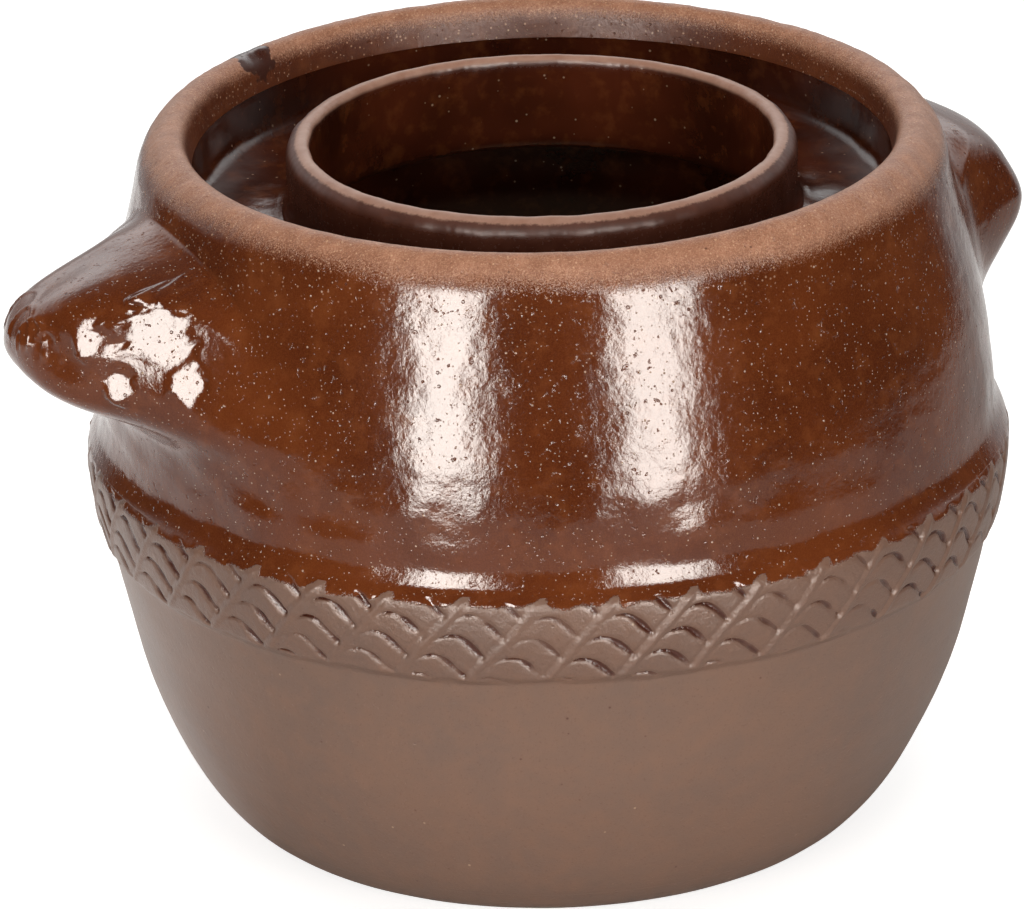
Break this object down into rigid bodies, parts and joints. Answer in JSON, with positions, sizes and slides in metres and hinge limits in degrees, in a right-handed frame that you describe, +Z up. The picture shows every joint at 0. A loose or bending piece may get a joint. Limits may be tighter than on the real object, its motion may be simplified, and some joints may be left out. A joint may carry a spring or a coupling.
{
  "type": "ceramic crock fermenter",
  "caption": "Round-bellied brown stoneware fermenting crock with lug handles, a raised collar inside a water-seal channel, a stamped belly band and loose half-moon weight stones inside.",
  "frame": {"origin": "centre of the flat underside, on the turning axis, at the surface the crock stands on", "axes": "+Z up along the turning axis, +X and -X towards the lug handles, which both swing about 3.5 degrees towards +Y"},
  "size_m": [0.3156, 0.2702, 0.211],
  "materials": {
    "brown_glaze": "glossy brown salt-speckled glaze with pinholes",
    "bare_rim": "unglazed sandy light brown clay",
    "stamped_clay": "satin grey-brown, stamped, dark glaze in the grooves",
    "satin_clay": "satin taupe slip",
    "weight_stone": "unglazed fired stoneware"
  },
  "bodies": {
    "crock": {"base": "satin_clay", "lower_bowl": "satin_clay", "pattern_band": "stamped_clay", "upper_wall": "brown_glaze", "water_channel": "brown_glaze", "inner_collar": "brown_glaze", "outer_rim": "bare_rim", "left_lug_handle": "brown_glaze", "right_lug_handle": "brown_glaze"},
    "left_weight": {"left_weight_stone": "weight_stone"},
    "right_weight": {"right_weight_stone": "weight_stone"}
  },
  "joints": [
    {"name": "left_weight_lift", "type": "slide", "parent": "crock", "child": "left_weight", "axis": [0, 0, 1], "range_m": [0, 0.215]},
    {"name": "right_weight_lift", "type": "slide", "parent": "crock", "child": "right_weight", "axis": [0, 0, 1], "range_m": [0, 0.215]}
  ]
}
